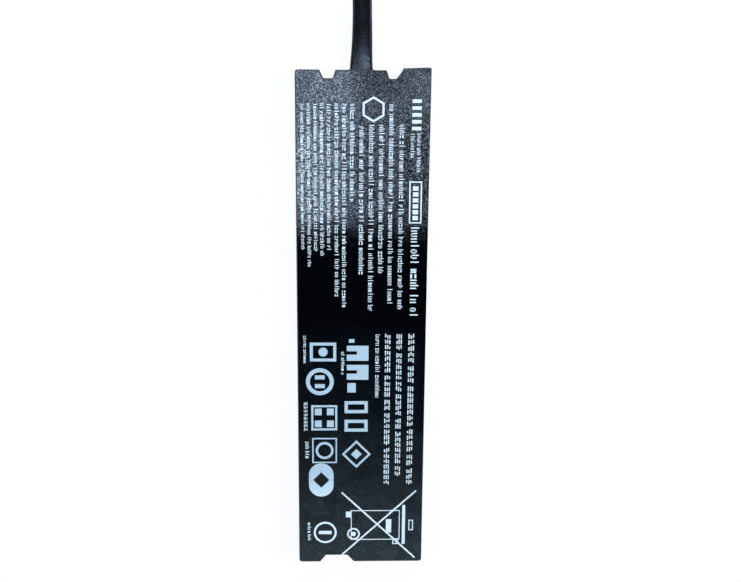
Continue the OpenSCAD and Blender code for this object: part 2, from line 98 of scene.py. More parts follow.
def joinRings(bm, rings):
    sides = len(rings[0])
    for a, b in zip(rings, rings[1:]):
        for s in range(sides):
            q = (s + 1) % sides
            bm.faces.new((a[s], a[q], b[q], b[s]))


def sweptTube(points, section, sides, steps):
    # section(t, angle) gives the sideways and upward reach at a point of the curve
    bm = bmesh.new()
    last = len(points) - 1
    look = 0.05  # how far along the curve each way its direction is taken
    up = Vector((0, 0, 1))
    rings = []
    line = []
    for k in range(last * steps + 1):
        t = k / steps
        here = onCurve(points, t)
        ahead = onCurve(points, min(t + look, last)) - onCurve(points, max(t - look, 0))
        side = ahead.normalized().cross(up).normalized()
        top = side.cross(ahead.normalized())
        ring = []
        for s in range(sides):
            across, high = section(t, 2 * math.pi * s / sides)
            ring.append(bm.verts.new(here + side * across + top * high))
        rings.append(ring)
        line.append(here)
    joinRings(bm, rings)
    bm.faces.new(list(reversed(rings[0])))
    bm.faces.new(rings[-1])
    bmesh.ops.recalc_face_normals(bm, faces=bm.faces)
    return bm, line


def smooth(obj):  # the four-sided faces only, so end caps stay flat
    for p in obj.data.polygons:
        p.use_smooth = len(p.vertices) == 4


def breakEdge(obj, width, segments, sharpDegrees):
    cut = obj.modifiers.new("edge", "BEVEL")
    cut.width = width * mm
    cut.segments = segments
    cut.limit_method = "ANGLE"
    cut.angle_limit = math.radians(sharpDegrees)


class Shader:
    # short way to write a node material
    def __init__(self, name):
        self.mat = bpy.data.materials.new(name)
        self.mat.use_nodes = True
        self.tree = self.mat.node_tree
        self.body = self.tree.nodes["Principled BSDF"]
        self.place = self.node("ShaderNodeTexCoord").outputs["Object"]

    def node(self, kind, **values):
        n = self.tree.nodes.new(kind)
        for key, value in values.items():
            if hasattr(n, key):
                setattr(n, key, value)
            else:
                n.inputs[key.replace("_", " ")].default_value = value
        return n

    def join(self, a, b):
        self.tree.links.new(a, b)

    def noise(self, size, detail=3.0, rough=0.55, stretch=(1, 1, 1)):
        n = self.node("ShaderNodeTexNoise", Scale=1 / size, Detail=detail, Roughness=rough)
        spread = self.node("ShaderNodeMapping")
        spread.inputs["Scale"].default_value = stretch
        self.join(self.place, spread.inputs["Vector"])
        self.join(spread.outputs["Vector"], n.inputs["Vector"])
        return n.outputs["Fac"]

    def cells(self, size):
        n = self.node("ShaderNodeTexVoronoi", Scale=1 / size)
        self.join(self.place, n.inputs["Vector"])
        return n

    def ramp(self, value, low, high, lowOut=0.0, highOut=1.0):
        n = self.node("ShaderNodeMapRange")
        for key, v in (("From Min", low), ("From Max", high), ("To Min", lowOut), ("To Max", highOut)):
            n.inputs[key].default_value = v
        self.join(value, n.inputs["Value"])
        return n.outputs["Result"]

    def maths(self, operation, a, b):
        n = self.node("ShaderNodeMath", operation=operation)
        for socket, v in zip(n.inputs, (a, b)):
            if isinstance(v, (int, float)):
                socket.default_value = v
            else:
                self.join(v, socket)
        return n.outputs[0]

    def blend(self, factor, a, b):  # two colours mixed by a pattern
        n = self.node("ShaderNodeMix", data_type="RGBA")
        self.join(factor, n.inputs[0])
        for socket, v in ((n.inputs[6], a), (n.inputs[7], b)):
            if isinstance(v, (tuple, list)):
                socket.default_value = (*v, 1)
            else:
                self.join(v, socket)
        return n.outputs[2]

    def colour(self, value):
        if isinstance(value, (tuple, list)):
            self.body.inputs["Base Color"].default_value = (*value, 1)
        else:
            self.join(value, self.body.inputs["Base Color"])

    def rough(self, value):
        self.join(value, self.body.inputs["Roughness"])

    def bump(self, height, depth):
        n = self.node("ShaderNodeBump", Distance=depth)
        self.join(height, n.inputs["Height"])
        self.join(n.outputs["Normal"], self.body.inputs["Normal"])
        return n

    def along(self):  # place along the module, towards the cable
        n = self.node("ShaderNodeSeparateXYZ")
        self.join(self.place, n.inputs[0])
        return n.outputs["Y"]


# the part of a noise's values that is spread over a pattern
gentle = (0.3, 0.7)
firm = (0.35, 0.65)


filmFinish = {
    "colour": (0.0005, 0.0009, 0.0016),
    "paintedGlint": (0.055, 0.056, 0.058),
    "paintedGlintTo": 0.023, "paintedGlintFrom": 0.034,  # painted glints: pale flecks in the base colour from here to the head end, where the lamps' glare falls
    "roughness": 0.3, "roughSpread": 0.04,  # of the dull layer under the gloss
    "glossRoughness": 0.055,
    "grainSize": 0.2 * mm,
    "grainPower": 6,  # the higher, the fewer grains are bright
    "reliefGrains": 1.5, "reliefDepth": 0.006 * mm,  # the relief's size is counted in grains
    "glossLeast": 0.17, "glossMean": 0.32,  # gloss of the darkest grains and on average; the lightest reach 1
    "patchSize": 5 * mm, "patchDepth": 0.25, "patchRange": (0.32, 0.68),
    "calmFrom": 0.01, "calmTo": -0.04, "calm": 0.25,  # the grain is fainter from here to the foot end
    "livelyTo": 0.052, "livelyFrom": 0.065, "lively": 1.9,  # and stronger except close to the head end
}


def filmGloss(s, share, lively):  # grain of the clear layer over film and print
    f = filmFinish
    single = s.node("ShaderNodeSeparateColor")
    s.join(s.cells(f["grainSize"]).outputs["Color"], single.inputs[0])
    power, least, mean = f["grainPower"], f["glossLeast"], f["glossMean"]
    sparkle = s.maths("POWER", single.outputs[0], power)
    # an even random value raised to this power is 1 / (power + 1) on average
    grain = s.maths("ADD", s.maths("MULTIPLY", sparkle, (power + 1) * (mean - least)), least)
    calm = s.ramp(s.along(), f["calmTo"], f["calmFrom"], f["calm"], 1.0)
    contrast = s.maths("MULTIPLY", calm, s.ramp(s.along(), f["livelyTo"], f["livelyFrom"], lively, 1.0))
    level = s.maths("MULTIPLY", s.maths("SUBTRACT", grain, mean), contrast)
    level = s.maths("ADD", level, mean)
    depth = f["patchDepth"]
    patch = s.ramp(s.noise(f["patchSize"]), *f["patchRange"], (1 - depth) * share, (1 + depth) * share)
    level = s.maths("MAXIMUM", s.maths("MULTIPLY", level, patch), 0.0)
    s.join(s.maths("MINIMUM", level, 1.0), s.body.inputs["Coat Weight"])
    s.body.inputs["Coat Roughness"].default_value = f["glossRoughness"]
    relief = s.bump(s.noise(f["grainSize"] * f["reliefGrains"], detail=2.0), f["reliefDepth"])
    s.join(relief.outputs["Normal"], s.body.inputs["Coat Normal"])
    return sparkle


def filmMaterial():
    s = Shader("filmBlack")
    f = filmFinish
    sparkle = filmGloss(s, 1.0, f["lively"])
    # painted glints: pale flecks put in the base colour towards the head end only, where the glare falls
    head = s.ramp(s.along(), f["paintedGlintTo"], f["paintedGlintFrom"])
    s.colour(s.blend(s.maths("MULTIPLY", sparkle, head), f["colour"], f["paintedGlint"]))
    rough, spread = f["roughness"], f["roughSpread"]
    s.rough(s.ramp(s.noise(f["patchSize"]), *gentle, rough - spread, rough + spread))
    s.body.inputs["Specular IOR Level"].default_value = 0.0  # the gloss alone reflects
    return s.mat


caseFinish = {
    "tones": ((0.008, 0.009, 0.011), (0.013, 0.014, 0.017)), "tonePatch": 4 * mm,
    "roughness": (0.42, 0.56), "roughPatch": 0.8 * mm,
    "grainSize": 0.16 * mm, "grainDepth": 0.012 * mm,
}


def caseMaterial():
    f = caseFinish
    s = Shader("casePlastic")
    s.colour(s.blend(s.ramp(s.noise(f["tonePatch"]), *firm), *f["tones"]))
    s.rough(s.ramp(s.noise(f["roughPatch"]), *gentle, *f["roughness"]))
    s.bump(s.noise(f["grainSize"], detail=4.0), f["grainDepth"])
    return s.mat


inkFinish = {  # two tones of each: large marks, and the whiter thin print; near both ends the large marks take the whiter tone too, a painted highlight where the lamps' glare falls
    "broad": ((0.35, 0.45, 0.52), (0.4, 0.51, 0.575)),
    "thin": ((0.595, 0.675, 0.71), (0.66, 0.735, 0.765)),
    "paintedHighlightHead": (0.0, 0.03), "paintedHighlightFoot": (-0.044, -0.054),  # the painted highlight on the large marks fades in between these
    "tonePatch": 0.5 * mm, "toneRange": (0.36, 0.6),
    "roughness": (0.5, 0.66), "roughPatch": 0.3 * mm,
    "gloss": 0.5, "specular": 0.1,
}


def inkMaterial(name, ends):
    f = inkFinish
    s = Shader(name)
    filmGloss(s, f["gloss"], 1.0)
    worn = s.ramp(s.noise(f["tonePatch"], detail=4.0), *f["toneRange"])
    tone = s.blend(worn, *f["thin"])
    if ends:
        # painted highlight: the large marks are drawn whiter near both ends, where the glare falls
        white = s.maths("MAXIMUM", s.ramp(s.along(), *f["paintedHighlightHead"]), s.ramp(s.along(), *f["paintedHighlightFoot"]))
        tone = s.blend(white, s.blend(worn, *f["broad"]), tone)
    s.colour(tone)
    s.rough(s.ramp(s.noise(f["roughPatch"]), *gentle, *f["roughness"]))
    s.body.inputs["Specular IOR Level"].default_value = f["specular"]
    return s.mat


sleeveFinish = {
    "tones": ((0.002, 0.003, 0.0045), (0.004, 0.005, 0.0075)), "tonePatch": 3 * mm,
    "roughness": (0.17, 0.25), "roughPatch": 1.2 * mm, "roughStretch": (1, 0.3, 1),
    "specular": 0.15,
    "lineSize": 0.35 * mm, "lineStretch": (1, 0.12, 1), "lineShare": 0.6,  # faint lines along the run
    "reliefSize": 1.1 * mm, "reliefDepth": 0.02 * mm,
}


def sleeveMaterial():
    f = sleeveFinish
    s = Shader("sleeveBlack")
    s.colour(s.blend(s.ramp(s.noise(f["tonePatch"]), *firm), *f["tones"]))
    s.rough(s.ramp(s.noise(f["roughPatch"], stretch=f["roughStretch"]), *gentle, *f["roughness"]))
    s.body.inputs["Specular IOR Level"].default_value = f["specular"]
    drawn = s.noise(f["lineSize"], detail=2.0, stretch=f["lineStretch"])
    relief = s.maths("ADD", s.maths("MULTIPLY", drawn, f["lineShare"]), s.noise(f["reliefSize"]))
    s.bump(relief, f["reliefDepth"])
    return s.mat


plainFinishes = {
    # name, two close tones, roughness, grain and relief in millimetres, and 1 for a metal
    "grommet": ("grommetRubber", (0.007, 0.007, 0.008), (0.011, 0.011, 0.012), 0.58, 0.2, 0.01, 0),
    "tie": ("tieNylon", (0.01, 0.01, 0.011), (0.016, 0.016, 0.017), 0.4, 0.25, 0.008, 0),
    "plugNylon": ("plugNylon", (0.74, 0.69, 0.55), (0.68, 0.62, 0.47), 0.42, 0.3, 0.01, 0),
    "contact": ("contactBrass", (0.78, 0.62, 0.34), (0.7, 0.55, 0.3), 0.3, 0.2, 0.006, 1),
    "pouch": ("pouchFoil", (0.6, 0.62, 0.64), (0.5, 0.52, 0.55), 0.36, 0.6, 0.03, 1),
    "nickel": ("tabNickel", (0.68, 0.66, 0.62), (0.6, 0.58, 0.54), 0.34, 0.2, 0.006, 1),
    "tape": ("tapeWhite", (0.78, 0.76, 0.68), (0.7, 0.68, 0.6), 0.6, 0.25, 0.01, 0),
    "foam": ("foamGrey", (0.1, 0.105, 0.11), (0.06, 0.063, 0.067), 0.85, 0.35, 0.08, 0),
    "flex": ("flexAmber", (0.5, 0.2, 0.03), (0.42, 0.15, 0.02), 0.28, 0.4, 0.008, 0),
    "board": ("boardGreen", (0.01, 0.1, 0.045), (0.008, 0.075, 0.032), 0.32, 0.3, 0.01, 0),
    "chip": ("chipBlack", (0.018, 0.018, 0.02), (0.025, 0.025, 0.027), 0.55, 0.1, 0.01, 0),
    "ceramicWhite": ("ceramicWhite", (0.74, 0.72, 0.65), (0.66, 0.64, 0.57), 0.5, 0.15, 0.008, 0),
    "ceramicTan": ("ceramicTan", (0.4, 0.25, 0.12), (0.34, 0.2, 0.09), 0.45, 0.12, 0.006, 0),
    "fibre": ("fibreSheet", (0.52, 0.4, 0.23), (0.45, 0.34, 0.19), 0.7, 0.3, 0.012, 0),
    "solder": ("solderTin", (0.7, 0.71, 0.73), (0.6, 0.61, 0.64), 0.25, 0.3, 0.01, 1),
    "leadRed": ("leadRed", (0.5, 0.02, 0.018), (0.42, 0.015, 0.014), 0.38, 0.3, 0.006, 0),
    "leadBlack": ("leadBlack", (0.012, 0.012, 0.013), (0.02, 0.02, 0.021), 0.38, 0.3, 0.006, 0),
    "leadWhite": ("leadWhite", (0.75, 0.74, 0.7), (0.68, 0.67, 0.62), 0.38, 0.3, 0.006, 0),
    "leadYellow": ("leadYellow", (0.75, 0.5, 0.03), (0.68, 0.43, 0.02), 0.38, 0.3, 0.006, 0),
    "leadBlue": ("leadBlue", (0.02, 0.09, 0.4), (0.015, 0.07, 0.32), 0.38, 0.3, 0.006, 0),
}
plainLook = {"toneGrains": 6, "roughGrains": 3, "roughSpread": 0.07}  # patch sizes are counted in grains


def plainMaterial(name, colour, other, rough, grain, depth, metal):
    f = plainLook
    spread = f["roughSpread"]
    s = Shader(name)
    s.body.inputs["Metallic"].default_value = metal
    s.colour(s.blend(s.ramp(s.noise(grain * mm * f["toneGrains"]), *firm), colour, other))
    s.rough(s.ramp(s.noise(grain * mm * f["roughGrains"]), *gentle, rough - spread, rough + spread))
    s.bump(s.noise(grain * mm), depth * mm)
    return s.mat


finishes = {
    "casePlastic": caseMaterial(),
    "film": filmMaterial(),
    "ink": inkMaterial("paleInk", True),
    "inkThin": inkMaterial("paleInkThin", False),
    "sleeve": sleeveMaterial(),
}
for finish, values in plainFinishes.items():
    finishes[finish] = plainMaterial(*values)
print("finishes made:", len(finishes))


def wear(obj, *names):
    if len(obj.data.materials):  # clearing also forgets which face wears which finish
        obj.data.materials.clear()
    for name in names:
        obj.data.materials.append(finishes[name])


keptPieces = {  # node: finish, width of its broken edge in millimetres
    "tray": ("casePlastic", 0.22), "lid": ("casePlastic", 0.12),
    "print_marks": ("ink", 0),
    "cell_1": ("pouch", 0.1), "cell_2": ("pouch", 0.1),
    "cell_1_tabs": ("nickel", 0), "cell_2_tabs": ("nickel", 0),
    "cell_tape_1": ("tape", 0), "cell_tape_2": ("tape", 0),
    "foam_pad_1": ("foam", 0.1), "foam_pad_2": ("foam", 0.1),
    "conductor_strip": ("flex", 0), "tab_tape": ("flex", 0),
    "circuit_board": ("board", 0.05), "gauge_chip": ("chip", 0.03), "power_switches": ("chip", 0.03),
    "sense_resistor": ("chip", 0.05), "chip_fuse": ("ceramicWhite", 0.08),
    "chip_capacitors": ("ceramicTan", 0.05), "chip_resistors": ("chip", 0.03),
    "thermistor": ("chip", 0), "insulation_sheet": ("fibre", 0),
    "solder_joints": ("solder", 0), "inner_leads": ("leadRed", 0),
    "cable_grommet": ("grommet", 0.12),
    "plug_housing": ("plugNylon", 0.08), "plug_contacts": ("contact", 0.05), "cable_tie": ("tie", 0.12),
}


dressing = {
    "weld": 0.002,  # points closer than this become one
    "flatDegrees": 1,  # faces that turn less than this become one
    "segments": 3, "sharpDegrees": 40,  # of the broken edges
}


def dressNode(name, finish, edge):
    obj = nodes[name]
    wear(obj, finish)
    weld = obj.modifiers.new("weld", "WELD")
    weld.merge_threshold = dressing["weld"] * mm
    if edge:
        flat = obj.modifiers.new("flat", "DECIMATE")
        flat.decimate_type = "DISSOLVE"
        flat.angle_limit = math.radians(dressing["flatDegrees"])
        breakEdge(obj, edge, dressing["segments"], dressing["sharpDegrees"])


for nodeName, (finish, edge) in keptPieces.items():
    dressNode(nodeName, finish, edge)
print("frame pieces dressed:", len(keptPieces))


cable = {
    # middle of the sleeve in millimetres: out of the collar, down to the surface, round a loop and back
    "route": [
        (-0.4, 71.42, 2.35), (-0.38, 73.5, 2.35), (-0.3, 76, 2.28), (-0.2, 80, 2.05), (-0.2, 86, 1.65),
        (-0.3, 94, 1.35), (-0.4, 102, 1.5), (-0.4, 110, 2.1), (-0.4, 118, 2.45), (-1, 124, 1.9),
        (-1.6, 130, 1.4), (-2.6, 136.3, 1.3), (-5.6, 142, 1.3), (-9.6, 146, 1.3), (-13.6, 150, 1.3),
        (-16.6, 155.7, 1.3), (-17.6, 162, 1.3), (-16.6, 168.3, 1.3), (-13.6, 174, 1.3), (-9.6, 178, 1.3),
        (-3.9, 181, 1.3), (2.4, 182, 1.3), (8.7, 181, 1.3), (14.4, 178, 1.3), (18.4, 174, 1.3),
        (21.4, 168.3, 1.3), (22.4, 162, 1.3), (21.4, 155.7, 1.3), (18.4, 150, 1.3), (14.4, 146, 1.3),
        (10.4, 142, 1.3), (7.4, 136.3, 1.3), (6.4, 130, 1.4), (5.8, 124, 1.9), (5.2, 118, 2.45),
        (5.2, 114, 2.2), (5.2, 112, 2.2),
    ],
    "width": 5.3, "thickness": 2.5,
    "exitWidth": 6.4, "exitThickness": 1.6,
    "spreadPoints": 4,  # wider than its run up to this route point
    "leftEdge": 0.45, "rightEdge": 0.55,  # 1 is a round side, towards 0 a square one
    "exitSquare": 0.35,  # how much squarer both sides are at the exit
    "leanDegrees": 6, "leanPoints": 6,  # rolled to the left at the exit, level from this route point on
    "sides": 48, "ringsBetween": 8,
    "leads": 5, "leadRidge": 0.03,  # the leads inside show as faint ridges
    # the pinched top ripples close to the exit, up to a route point
    "ripple": 0.02, "ripplePoints": 2.6, "rippleAlong": 9, "rippleAcross": 1.6,
    "tuck": 0.12, "tuckPoints": 0.4,  # shrunk onto the leads at its end
    "shrink": 0.98,  # of the whole section
    "length": 0.214,  # in metres
}


def makeSleeve():
    points = [Vector(p) * mm for p in cable["route"]]
    last = len(points) - 1

    def fade(t, reach):  # 1 at the exit, 0 from this route point on
        return max(0.0, 1 - t / reach)

    def section(t, angle):
        spread = fade(t, cable["spreadPoints"])
        wide = cable["width"] + (cable["exitWidth"] - cable["width"]) * spread
        thick = cable["thickness"] + (cable["exitThickness"] - cable["thickness"]) * spread
        c, s = math.cos(angle), math.sin(angle)
        edge = (cable["leftEdge"] if c < 0 else cable["rightEdge"]) * (1 - cable["exitSquare"] * spread)
        across = wide / 2 * math.copysign(abs(c) ** edge, c)
        high = thick / 2 * math.copysign(abs(s) ** edge, s)
        ridge = cable["leadRidge"] * (math.cos(2 * math.pi * cable["leads"] * across / wide) - 1) / 2
        high += ridge * s
        if s > 0:
            wave = 1 + math.sin(cable["rippleAlong"] * t + cable["rippleAcross"] * across)
            high -= cable["ripple"] * fade(t, cable["ripplePoints"]) * wave * (1 + across / wide)
        lean = math.radians(cable["leanDegrees"]) * fade(t, cable["leanPoints"])
        level, tilt = math.cos(lean), math.sin(lean)
        across, high = across * level - high * tilt, high * level + across * tilt
        tuck = 1 - cable["tuck"] * max(0.0, t - last + cable["tuckPoints"]) / cable["tuckPoints"]
        return across * tuck * mm * cable["shrink"], high * tuck * mm * cable["shrink"]

    bm, line = sweptTube(points, section, cable["sides"], cable["ringsBetween"])
    obj = meshObject("cable_run", bm)
    smooth(obj)
    wear(obj, "sleeve")
    return obj, line


sleeve, sleeveLine = makeSleeve()


plugLeads = {
    "diameter": 0.9, "sides": 16, "ringsBetween": 6,
    "colours": ["leadRed", "leadWhite", "leadYellow", "leadBlue", "leadBlack"],
    "pitchAtSleeve": 0.95, "pitchBetween": 1.2, "pitchAtPlug": 1.5,
    "gap": 0.04, "straight": 1.5,  # clear of the sleeve's end, and straight out of it to here
    "bow": 0.5,  # how far the middle point lies towards the sleeve's end
    "heightInPlug": 1.7,
    "plugSteps": (2.2, 1, -0.3, -1.6),  # last points of a lead; below 0 they lie inside the plug
}


def makeLeads():
    f = plugLeads
    end = Vector(cable["route"][-1])
    low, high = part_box("plug_contacts")
    plugX = (low.x + high.x) / 2 / mm
    plugZ = (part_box("plug_housing")[0].z / mm) + f["heightInPlug"]
    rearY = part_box("plug_housing")[1].y / mm
    made = bmesh.new()
    r = f["diameter"] / 2 * mm
    for i in range(len(f["colours"])):
        k = i - len(f["colours"]) // 2
        a, b = end.x + k * f["pitchAtSleeve"], plugX + k * f["pitchAtPlug"]
        middle = (end.x + plugX) / 2 + k * f["pitchBetween"]
        points = [
            (a, end.y - f["gap"], end.z), (a, end.y - f["straight"], end.z),
            (middle, (end.y + rearY) / 2 + f["bow"], (end.z + plugZ) / 2),
            *[(b, rearY + step, plugZ) for step in f["plugSteps"]],
        ]
        bm = sweptTube(
            [Vector(p) * mm for p in points],
            lambda t, angle: (r * math.cos(angle), r * math.sin(angle)), f["sides"], f["ringsBetween"]
        )[0]
        for face in bm.faces:
            face.material_index = i
        part = bpy.data.meshes.new("part")
        bm.to_mesh(part)
        bm.free()
        made.from_mesh(part)
        bpy.data.meshes.remove(part)
    obj = meshObject("plug_wires", made)
    smooth(obj)
    wear(obj, *f["colours"])
    return obj


wires = makeLeads()
for piece, cadName, slotName in (
    (sleeve, "cable_sleeve", "sleeve_black"), (wires, "plug_leads", "lead_insulation"),
):
    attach(piece, "root")
    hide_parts(cadName)
print("cable made")


film = {
    "thickness": 0.2,
    "cornerRadius": 0.55, "notchRadius": 0.45,
    "margin": 0.3,  # bare rim of the lid left round the film
    "gridStep": 2.0, "gridHalf": (18, 70),  # the film's own grid, for its slight waves
    "wave": 0.006, "waveLength": 17.0, "waveMix": (0.7, 0.6, 1.3),
    # where each notch begins, its floor, and where it ends, along the width
    "leftNotch": (-11.7, -10.6, -8.1, -7.4), "rightNotch": (6.4, 7.1, 8.95, 10.75),
    "footNotch": (-12.0, -10.3, -3.9, -2.0),
    "headDepth": 2.2, "footDepth": 2.1,
    "strayCorner": 0.85, "strayTip": (0.45, 0.3),  # its cable-end right corner runs past the lid
    "headStrip": 0.9, "headThickness": 0.45,  # a strip at the head end has this share of the thickness
    "edge": 0.05, "segments": 2, "sharpDegrees": 50,
}


def cornerArc(a, b, c, r, steps=8):
    u, v = (a - b).normalized(), (c - b).normalized()
    half = u.angle(v) / 2
    centre = b + (u + v).normalized() * r / math.sin(half)
    first = b + u * r / math.tan(half) - centre
    start = math.atan2(first.y, first.x)
    turn = (b.x - a.x) * (c.y - b.y) - (b.y - a.y) * (c.x - b.x)
    sweep = math.copysign(math.pi - 2 * half, turn)
    return [centre + r * Vector((math.cos(start + sweep * k / steps), math.sin(start + sweep * k / steps)))
            for k in range(steps + 1)]


def insetCorner(a, b, c, d):
    u, v = (b - a).normalized(), (c - b).normalized()
    n, m = Vector((-u.y, u.x)), Vector((-v.y, v.x))
    return b + (n + m) * d / (1 + n.dot(m))


def filmOutline():
    w, l = lidHigh.x / mm, lidHigh.y / mm

    def notch(across, mouth, floor):
        return list(zip(across, (mouth, floor, floor, mouth)))

    foot = notch(film["footNotch"], -l, -l + film["footDepth"])
    right = notch(film["rightNotch"], l, l - film["headDepth"])[::-1]
    left = notch(film["leftNotch"], l, l - film["headDepth"])[::-1]
    raw = [Vector(p) for p in [(-w, -l), *foot, (w, -l), (w, l), *right, *left, (-w, l)]]
    count = len(raw)
    caseCorners = (0, 5, 6, count - 1)  # counted from the foot end's left corner
    stray = caseCorners[2]
    corners = [insetCorner(raw[i - 1], raw[i], raw[(i + 1) % count], film["margin"]) for i in range(count)]
    tipX, tipY = film["strayTip"]
    corners[stray] += Vector((tipX, film["strayCorner"] + tipY))
    corners[stray + 1].y += film["strayCorner"]
    points = []
    for i in range(count):
        r = film["cornerRadius"] if i in caseCorners else film["notchRadius"]
        points += cornerArc(corners[i - 1], corners[i], corners[(i + 1) % count], r)
    return points


def filmHeight(x, y):  # slight waves in the film, in millimetres
    k = 2 * math.pi / film["waveLength"]
    a, b, c = film["waveMix"]
    return film["wave"] * (math.sin(k * y + a * math.sin(k * x)) + math.sin(b * k * x + c * k * y)) / 2


def makeFilm():
    bm = bmesh.new()
    bm.faces.new([bm.verts.new((p.x * mm, p.y * mm, filmTop)) for p in filmOutline()])
    for axis, half in enumerate(film["gridHalf"]):
        count = int(half / film["gridStep"])
        for k in range(-count, count + 1):
            at, normal = [0, 0, 0], [0, 0, 0]
            at[axis], normal[axis] = k * film["gridStep"] * mm, 1
            everything = bm.verts[:] + bm.edges[:] + bm.faces[:]
            bmesh.ops.bisect_plane(bm, geom=everything, plane_co=at, plane_no=normal)
    for v in bm.verts:
        v.co.z += filmHeight(v.co.x / mm, v.co.y / mm) * mm
    top = bm.faces[:]
    made = bmesh.ops.extrude_face_region(bm, geom=top)
    for v in made["geom"]:
        if isinstance(v, bmesh.types.BMVert):
            atHead = v.co.y > lidHigh.y - film["headStrip"] * mm
            v.co.z = filmTop - film["thickness"] * mm * (film["headThickness"] if atHead else 1)
    bmesh.ops.recalc_face_normals(bm, faces=bm.faces)
    obj = meshObject("printed_film", bm)
    breakEdge(obj, film["edge"], film["segments"], film["sharpDegrees"])
    wear(obj, "film")
    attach(obj, "root")
    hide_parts("front_film")


makeFilm()
print("film made")


printing = {
    # place across, start and end along the film, height of a block, weight of its strokes
    "rows": [
        (15.35, 54.6, 43.5, 1.05, 0.5), (13.65, 54.6, 47.6, 1.05, 0.5), (14.7, 29.1, 3.1, 2.3, 1.0),
        (10.75, 56.9, 5.3, 1.45, 0.62), (7.9, 62.1, 6.6, 1.45, 0.62), (5.2, 56.7, 14.8, 1.45, 0.62),
        (2.45, 56.7, 5.1, 1.45, 0.62), (-0.2, 56.3, 15.0, 1.45, 0.62),
        (-2.8, 62.2, 35.5, 1.25, 0.6), (-4.95, 62.2, 6.0, 1.25, 0.6), (-7.0, 62.2, 8.6, 1.25, 0.6),
        (-9.15, 62.2, 21.9, 1.15, 0.55), (-11.05, 62.2, 20.7, 1.15, 0.55), (-12.8, 62.2, 21.4, 1.05, 0.5),
        (-14.6, 62.2, 17.2, 1.05, 0.5), (-16.4, 62.2, 22.2, 0.95, 0.5),
        (14.2, -1.1, -48.4, 1.75, 0.45), (10.75, -1.1, -44.4, 1.65, 0.45), (7.5, -1.1, -48.0, 1.65, 0.45),
        (4.6, -1.3, -20.4, 1.3, 0.5),
        (-5.3, -6.4, -13.3, 1.0, 0.5), (-16.1, -1.7, -10.3, 0.9, 0.45), (-16.0, -21.3, -30.6, 1.1, 0.45),
        (-15.6, -33.2, -39.2, 1.2, 0.5), (-15.2, -58.5, -65.0, 1.0, 0.5),
    ],
    "squareRows": (16, 17, 18, 22),  # rows of square blocks
    "wordLengths": (5, 3, 7, 4, 2, 6, 8, 3),
    "inkHeight": 0.03, "inkSink": 0.01,
    "seed": 11,
    # shares of a block's height: room of a square block and of another one, gap, and gap after a word
    "squarePitch": 1.0, "pitch": 0.66, "gap": 0.16, "wordGap": 0.42,
    "leastRest": 0.5,  # a row ends when less than this is left of it
    "stroke": 0.35,  # share of the weight that a stroke's width has
}


def addBox(bm, low, high, z):
    # a thin slab of ink between two corners, in millimetres
    x0, x1 = sorted((low[0], high[0]))
    y0, y1 = sorted((low[1], high[1]))
    levels = (z - printing["inkSink"], z + printing["inkHeight"])
    around = ((x0, y0), (x1, y0), (x1, y1), (x0, y1))
    v = [bm.verts.new((x * mm, y * mm, h * mm)) for h in levels for x, y in around]
    for f in ((4, 5, 6, 7), (3, 2, 1, 0), (0, 1, 5, 4), (1, 2, 6, 5), (2, 3, 7, 6), (3, 0, 4, 7)):
        bm.faces.new([v[i] for i in f])


def printBlocks(rng, height, weight, square):
    # strokes of one block: (across from, across to, along from, along to), the first two 0..1 of its height
    pitch = height * printing["squarePitch" if square else "pitch"]
    body = pitch - height * printing["gap"]
    line = weight * printing["stroke"]
    if square:  # three strokes side by side and one across them
        parts = []
        for k in range(3):
            a = 0.02 + 0.36 * k
            parts.append((a, a + 0.18, body * rng.choice((0, 0.1, 0.3)), body * rng.choice((0.75, 1, 1))))
        cut = rng.choice((0.15, 0.45, 0.7)) * body
        parts.append((0.0, 0.95, cut, cut + line * 0.7))
        return pitch, parts
    low = 0.74  # where most strokes end
    top = rng.choice((low, low, 0.78, 1.0, 1.0))
    kind = rng.randrange(8)
    if kind < 2:  # two upright bars
        return pitch, [(0, top, 0, line), (0, low, body - line, body)]
    if kind in (6, 7):  # two upright bars joined at one end or both
        joined = [(0, 0.16, 0, body), (0.58, low, 0, body)][: rng.choice((1, 2, 2))]
        return pitch, [(0, top, 0, line), (0, low, body - line, body), *joined]
    if kind == 2:  # an upright bar with short ones to the side
        return pitch, [(0, top, 0, line), (0.58, low, 0, body), (0.3, 0.44, 0, body * 0.8)]
    if kind == 3:  # one bar
        return pitch, [(0, 1.0, body * 0.35, body * 0.35 + line)]
    if kind == 4:  # two level bars
        return pitch, [(0, 0.22, 0, body), (0.5, low, 0, body)]
    middle, thin = (body - line) / 2, line * 0.9  # three close bars
    return pitch, [(0, low, 0, thin), (0.04, low, middle, middle + line), (0, 0.7, body - thin, body)]


def makeRows():
    rng = random.Random(printing["seed"])
    lengths = printing["wordLengths"]
    bm = bmesh.new()
    z = filmTop / mm
    for number, (x, start, end, height, weight) in enumerate(printing["rows"]):
        square = number in printing["squareRows"]
        y = start
        word = number
        full = False
        while not full and y > end + height * printing["leastRest"]:
            for _ in range(lengths[word % len(lengths)]):
                pitch, parts = printBlocks(rng, height, weight, square)
                full = y - pitch < end
                if full:
                    break
                for a, b, c, d in parts:
                    low = (x - height / 2 + a * height, y - c)
                    high = (x - height / 2 + b * height, y - d)
                    addBox(bm, low, high, z + filmHeight(x, y))
                y -= pitch
            y -= height * printing["wordGap"]
            word += 1
    obj = meshObject("printed_rows", bm)
    wear(obj, "inkThin")
    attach(obj, "root")
    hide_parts("print_rows")


makeRows()
print("print made")


studio = {
    "floorRadius": 1.6, "wallHeight": 1.3, "bend": 0.5, "bendDegrees": 10, "sides": 96,
    "white": (0.93, 0.935, 0.94), "roughness": 0.9,
    "cameraWhite": 0.85,  # share of plain white that camera and reflections see in floor and wall
    "worldColour": (0.8, 0.9, 1.0), "worldStrength": 0.03,
}


